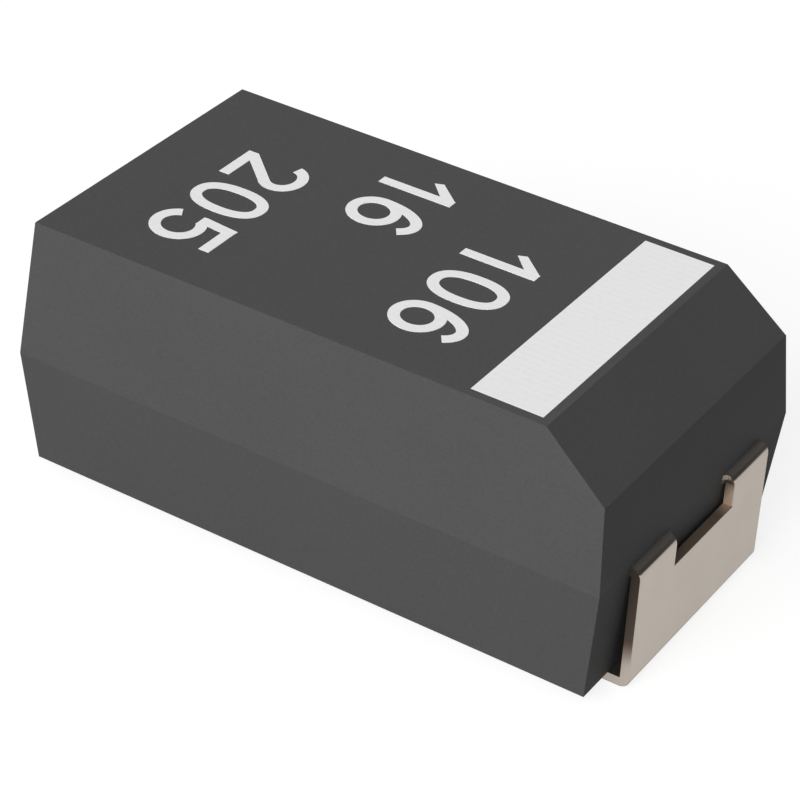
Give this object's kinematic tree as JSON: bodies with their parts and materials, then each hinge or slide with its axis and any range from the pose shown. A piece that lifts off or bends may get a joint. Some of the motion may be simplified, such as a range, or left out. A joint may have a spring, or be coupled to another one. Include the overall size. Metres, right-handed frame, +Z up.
{
  "type": "tantalum capacitor",
  "caption": "Moulded chip tantalum capacitor for surface mounting, with a bevel and a light bar at its positive end and folded metal terminals.",
  "frame": {"origin": "centre of the footprint, on the plane of the undersides of the two feet", "axes": "+X along the length towards the positive, bevelled end, +Y across the width, +Z up from the board"},
  "size_m": [0.006, 0.0032, 0.0025],
  "materials": {
    "epoxy_moulding": "fine matte moulded epoxy",
    "laser_mark": "flat, light grey, laser marked",
    "tinned_lead_strip": "satin tin plating over copper alloy strip",
    "tantalum": "drawn wire",
    "ptfe": "smooth white",
    "sintered_tantalum": "porous sintered powder",
    "manganese_dioxide": "dull black deposit",
    "carbon": "dull black paint",
    "silver_paint": "flaked silver paint",
    "silver_epoxy": "silver filled adhesive"
  },
  "bodies": {
    "root": {"moulded_case": "epoxy_moulding", "polarity_bar": "laser_mark", "anode_terminal": "tinned_lead_strip", "cathode_terminal": "tinned_lead_strip", "tantalum_wire": "tantalum", "wire_washer": "ptfe", "tantalum_pellet": "sintered_tantalum", "manganese_dioxide_coat": "manganese_dioxide", "carbon_coat": "carbon", "silver_coat": "silver_paint", "silver_adhesive": "silver_epoxy"}
  },
  "joints": []
}
